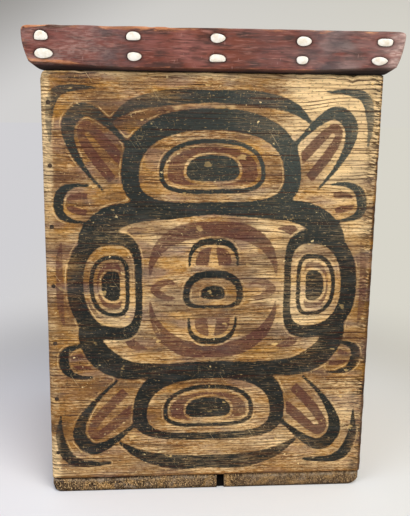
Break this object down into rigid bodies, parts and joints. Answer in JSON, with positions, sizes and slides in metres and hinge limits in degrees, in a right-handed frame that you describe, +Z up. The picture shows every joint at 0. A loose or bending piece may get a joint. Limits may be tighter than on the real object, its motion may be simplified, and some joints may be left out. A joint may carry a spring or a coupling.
{
  "type": "bentwood box",
  "caption": "Tall kerf-bent cedar storage box with a painted front, a pegged corner and base, and a heavy flared plank lid inlaid with shells that lifts straight off.",
  "frame": {"origin": "middle of the base's underside, on the surface that the box stands on", "axes": "+Z up, -Y toward the painted front, +X to the right as seen from the front"},
  "size_m": [0.435, 0.385, 0.571],
  "materials": {
    "painted_cedar": "aged bare cedar, hand-adzed smooth, with worn black and dull red paint on the front",
    "base_cedar": "dark aged cedar with weathered end grain",
    "lid_cedar": "cedar with a thin worn coat of red ochre paint",
    "peg_wood": "dark split yew pegs, cut flush",
    "shell": "polished cream shell"
  },
  "bodies": {
    "box": {"side_plank": "painted_cedar", "corner_pegs": "peg_wood", "base_board": "base_cedar", "base_pegs_front": "peg_wood", "base_pegs_back": "peg_wood", "base_pegs_left": "peg_wood", "base_pegs_right": "peg_wood"},
    "lid": {"lid": "lid_cedar", "upper_shell_1": "shell", "upper_shell_2": "shell", "upper_shell_3": "shell", "upper_shell_4": "shell", "upper_shell_5": "shell", "lower_shell_1": "shell", "lower_shell_2": "shell", "lower_shell_3": "shell", "lower_shell_4": "shell", "lower_shell_5": "shell"}
  },
  "joints": [
    {"name": "lid_lift", "type": "slide", "parent": "box", "child": "lid", "axis": [0, 0, 1], "range_m": [0, 0.2]}
  ]
}
